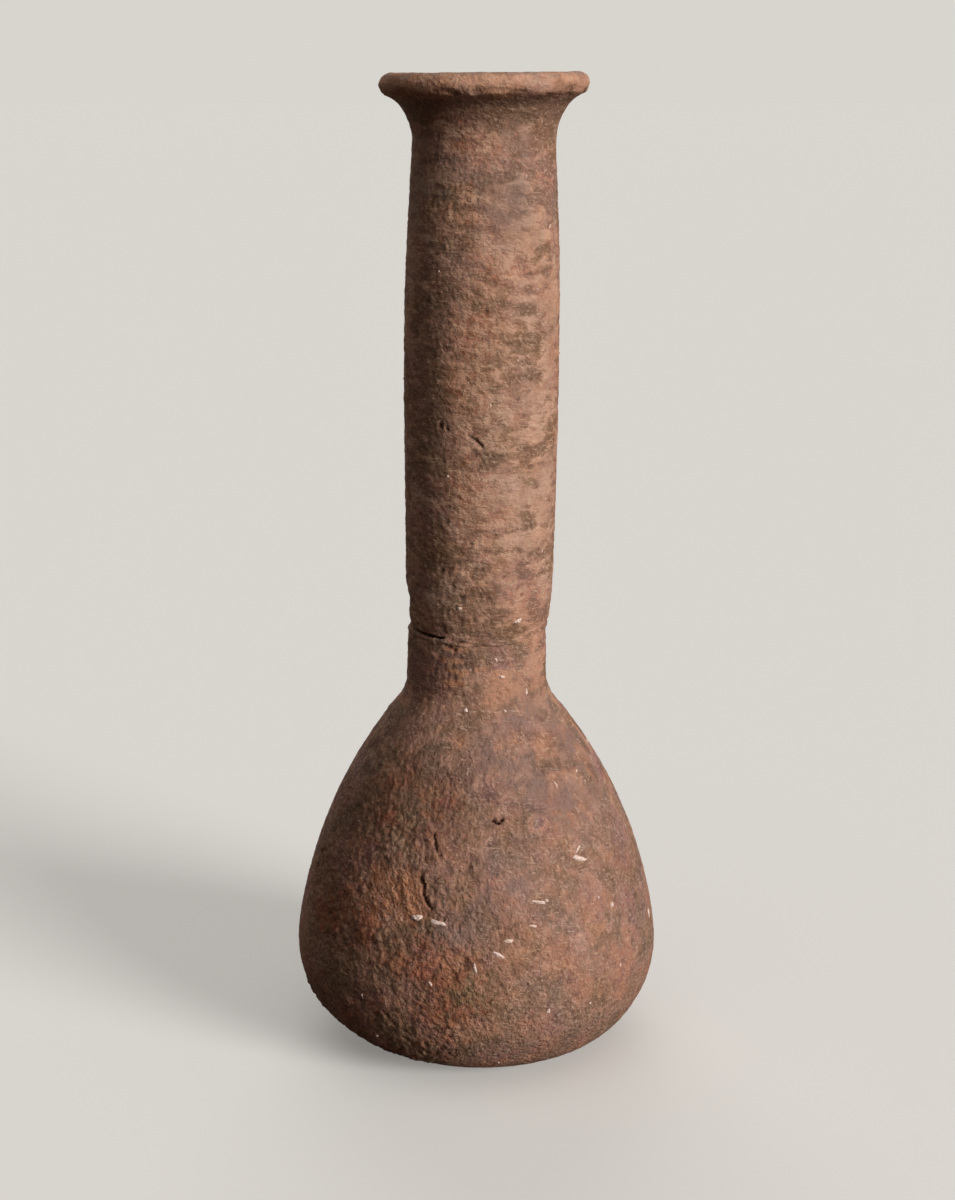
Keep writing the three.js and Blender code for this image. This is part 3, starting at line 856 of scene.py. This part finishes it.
heights = np.arange(72.0, 74.41, 0.12)
radii = np.interp(heights, [72.0, collar_top[1], neck_foot, 74.4], [11.72, 11.70, 11.56, 11.63])
wiped = np.column_stack([radii, heights])
bead = arc((bead_centre, joint), bead_radius, math.pi / 2, math.pi * 1.5, 9)
slip_outline = np.vstack([wiped, [(10.6, neck_foot), (9.4, neck_foot)], bead,
                          [(9.4, collar_top[1]), (10.6, collar_top[1])]])
slip_places, slip_outward = throw(slip_outline, sides=400, crowding=0.3)
on_skin = np.arange(len(slip_outline))[:, None] < len(wiped)
rise = slip_places[..., 2]
feather = np.abs(rise - joint) + 0.45 * bumps(slip_places * (1, 1, 0.2), 2.2, 51, 2)
slip_cuts = seam_split(slip_places)
slip_relief = weathering(slip_places, 0.3) + wheel_lines(slip_places) + seam_fold(slip_places)
slip_relief = slip_relief - slip_cuts + slip_proud - 0.3 * ease(0.6, 1.15, feather)
slip_relief = np.where(on_skin, slip_relief, 0)
# The feathered edges stand out the same way as the slip beside them.
slip_outward[len(wiped) - 1] = slip_outward[len(wiped) - 2]
slip_outward[0] = slip_outward[1]
slip_shaped = slip_places + slip_outward * slip_relief[..., None]
slip_shaped[..., 0] += neck_shift * ease(collar_top[1], neck_foot, rise)
slip_layers = {
    "skin": patchy(slip_places) + 0.1
    - 0.6 * blots(slip_places, body_wall, [(-19, 72.4, 5, 1.8), (62, 72.4, 5, 2), (160, 72.4, 9, 2)])
    + 0.5 * blots(slip_places, body_wall, [(-60, 72.7, 9, 4), (22, 72.5, 8, 2), (220, 72.5, 9, 3)]),
    "rust": 0,
    "fresh": 0,
    "drawn": 1,
    "dirt_and_painted_shade": 0.9 * ease(0.08, 0.4, slip_cuts) * on_skin,
    "dust": 0,
}
slip_clay = fired_clay(
    "fired_luting_slip",
    clay=("#93705a", "#9c7561", "#a97d6b", "#ad7c67"), worn=("#b1866f", "#c39983"),
    skin=("#785e49", "#81614e", "#836255", "#8a6558"), rust="#9c654a", dirt_and_painted_shade="#3c291f", dust="#94796d",
)
slip = make_piece("luting_slip_ring", slip_shaped, True, slip_clay, slip_layers)
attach(slip, "root")
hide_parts("luting_slip")


# Lime flecks. Chips and needles of white shell and lime in the clay, laid bare where the skin wore
# off. Each stands a hair proud of the wall and is rooted in it.

corners = 10  # round each fleck
usual_radius = 20  # turns a step round the wall into millimetres, near enough to find a place


def make_flecks(name, places, outward, flecks, material):
    """Low ragged domes of lime on a piece's surface, each with its edge sunk in the clay. A fleck
    is its azimuth, height, length, width and how far its top leans to the right."""
    chance = np.random.default_rng(7)
    points, faces = [], []
    for azimuth, height, length, width, lean in flecks:
        turned = (azimuth_of(places) - azimuth + 180) % 360 - 180
        middle = np.argmin(np.hypot(np.radians(turned) * usual_radius, places[:, 2] - height))
        away = outward[middle]
        right = np.cross((0, 0, 1), away)
        right /= np.linalg.norm(right)
        up = np.cross(away, right)
        rounds = np.arange(corners) / corners * 2 * math.pi
        edge = 1 + chance.uniform(-0.28, 0.28, corners)
        along = edge * np.sign(np.cos(rounds)) * np.abs(np.cos(rounds)) ** 0.6 * length / 2
        aside = edge * np.sign(np.sin(rounds)) * np.abs(np.sin(rounds)) ** 0.7 * width / 2
        tilt = math.radians(lean)
        flat = (along * math.sin(tilt) + aside * math.cos(tilt))[:, None] * right
        flat = flat + (along * math.cos(tilt) - aside * math.sin(tilt))[:, None] * up
        thick = min(0.14, width * 0.3)
        start = len(points)
        for share, lift in ((1.05, -0.3), (1, 0.0), (0.72, thick), (0.25, thick * 1.25)):
            points += (places[middle] + flat * share + away * lift).tolist()
        for low in range(start, start + 3 * corners, corners):
            for i in range(corners):
                after = (i + 1) % corners
                faces.append((low + i, low + after, low + corners + after, low + corners + i))
        top = start + 3 * corners
        faces += [[start + i for i in reversed(range(corners))], [top + i for i in range(corners)]]
    piece = make_mesh(name, points, faces, material)
    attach(piece, "root")
    return piece


def chalky_lime(name):
    """Lime and shell: chalk white, a little creamy, quite matt, with a tooth of 0.4 mm."""
    material = bpy.data.materials.new(name)
    tree = clear_nodes(material)
    place = add(tree, "TexCoord", out="Object")
    tooth = add(tree, "TexNoise", {"Vector": place, "Scale": 1000 / 0.4, "Detail": 3})
    tone = add(tree, "ValToRGB", {0: tooth}, stops=[(0.35, "#dcb5a1"), (0.6, "#fbe0d2")])
    bump = add(tree, "Bump", {"Distance": mm, "Strength": 0.6, "Height": tooth})
    chalk = add(tree, "BsdfPrincipled", {
        "Base Color": tone, "Roughness": 0.85, "Specular IOR Level": 0.3, "Normal": bump,
    })
    add(tree, "OutputMaterial", {"Surface": chalk})
    return material


lime = chalky_lime("chalky_lime")
body_flecks = [
    (-19.7, 30.7, 0.9, 1.7, 0), (-12.2, 30.4, 0.7, 2.6, 8), (41, 38.2, 0.85, 2.9, 25),
    (40.7, 39.6, 1.9, 0.45, 55), (20.9, 33.2, 0.5, 2.3, 12), (24.1, 33.0, 0.6, 0.6, 0),
    (9.9, 27.4, 0.65, 1.5, 0), (6.9, 25.5, 0.6, 1.8, 32), (-0.5, 23.3, 1.6, 0.5, -15),
    (76.6, 23.2, 1.8, 0.6, 8), (22.4, 14.9, 0.7, 0.7, 0), (44.9, 31.7, 0.4, 0.4, 0),
    (-8.3, 61.8, 0.8, 0.7, -30), (45.2, 63.5, 1.1, 0.4, 8), (21.9, 61.2, 0.5, 0.5, 0),
    (39.6, 49.8, 1.0, 0.35, -20), (50.5, 29.5, 0.8, 0.8, 0), (51.0, 19.4, 0.6, 0.35, 0),
    (37, 14.5, 0.4, 0.4, 0), (-22, 4.6, 0.5, 0.4, 0), (-35, 8.2, 0.4, 0.5, 0), (8, 4.3, 0.5, 0.4, 0),
    (21, 67.2, 0.5, 0.9, 0), (16.5, 69.8, 0.8, 0.3, -15), (-37, 16.0, 1.0, 0.3, -20),
    (18.5, 29.5, 0.5, 1.5, 15), (56, 50.5, 0.5, 0.4, 0), (-14, 20.5, 0.8, 0.3, -35),
]


def scatter(chance, count, heights, lengths, widths):
    """That many more flecks by chance, on the sides that the photograph doesn't show."""
    ranges = ((85, 275), heights, lengths, widths, (-90, 90))
    return [tuple(chance.uniform(*ends) for ends in ranges) for _ in range(count)]


chance = np.random.default_rng(11)
body_flecks += scatter(chance, 44, heights=(3, 62), lengths=(0.35, 1.3), widths=(0.3, 0.6))
on_body = np.broadcast_to(outside, body_relief.shape)
body_lime = make_flecks("lime_flecks_of_body", body_shaped[on_body], body_outward[on_body],
                        body_flecks, lime)

neck_flecks = [
    (34.5, 76.4, 0.7, 1.3, -10), (-13, 79.0, 0.5, 0.8, 0), (58, 87.5, 0.6, 0.3, 0),
    (47, 131, 0.5, 0.4, 0), (10, 113, 0.4, 0.3, 0), (-22, 101, 0.4, 0.35, 0), (-30, 134, 0.5, 0.3, 20),
    (62, 141, 0.8, 0.35, 20), (30, 120, 0.4, 0.35, 0), (38, 149, 0.6, 0.3, 0),
]
neck_flecks += scatter(chance, 30, heights=(76, 150), lengths=(0.3, 0.9), widths=(0.25, 0.5))
on_neck = np.broadcast_to(neck_front, neck_relief.shape)
neck_lime = make_flecks("lime_flecks_of_neck", neck_shaped[on_neck], neck_outward[on_neck],
                        neck_flecks, lime)


# Studio. A pale floor and backdrop, one broad soft lamp at the right and above, as the window
# stood, a weak one behind, and a little light from all round.

floor_reach = 12.0  # metres
floor_mesh = bpy.data.meshes.new("floor")
floor_corners = [(x * floor_reach, y * floor_reach, 0) for x, y in ((-1, -1), (1, -1), (1, 1), (-1, 1))]
floor_mesh.from_pydata(floor_corners, [], [(0, 1, 2, 3)])
floor = put_in_scene("floor", floor_mesh)


def seen_by_eye(tree):
    """1 on what the camera sees, straight or in gloss or glass, and 0 on what only lights."""
    seen = add(tree, "Math", {0: add(tree, "LightPath", out="Is Camera Ray"),
                              1: add(tree, "LightPath", out="Is Glossy Ray")}, operation="MAXIMUM")
    through_glass = add(tree, "LightPath", out="Is Transmission Ray")
    return add(tree, "Math", {0: seen, 1: through_glass}, operation="MAXIMUM")


# Matt paper: pale to the eye, but it throws so little light back that the heel stays dark.
paper = bpy.data.materials.new("pale_paper")
tree = clear_nodes(paper)
seen = seen_by_eye(tree)
tone = add(tree, "Mix", {0: seen, 6: "#40322c", 7: "#d9d5cf"}, out=2, data_type="RGBA")
lit_paper = add(tree, "BsdfDiffuse", {"Color": tone})
glow = add(tree, "Math", {0: seen, 1: 0.3}, operation="MULTIPLY")
pale_paper = add(tree, "Emission", {"Color": "#d9d5cf", "Strength": glow})
add(tree, "OutputMaterial", {"Surface": add(tree, "AddShader", {0: lit_paper, 1: pale_paper})})
floor_mesh.materials.append(paper)

world = bpy.data.worlds.new("studio")
scene.world = world
tree = clear_nodes(world)
seen = seen_by_eye(tree)
around = add(tree, "Background", {"Color": "#ffffff", "Strength": 0.11})
backdrop = add(tree, "Background", {"Color": "#d8d5ce"})
add(tree, "OutputWorld", {"Surface": add(tree, "MixShader", {0: seen, 1: around, 2: backdrop})})

for name, azimuth, elevation, strength, spread in (  # angles in degrees
    ("window", 51, 17, 3.2, 26), ("overhead", 0, 80, 0.5, 60), ("back_fill", 185, 20, 1.2, 50),
):
    lamp_data = bpy.data.lights.new(name, "SUN")
    lamp_data.energy = strength
    lamp_data.angle = math.radians(spread)
    lamp = put_in_scene(name, lamp_data)
    lamp.rotation_euler = (math.radians(90 - elevation), 0, math.radians(azimuth))
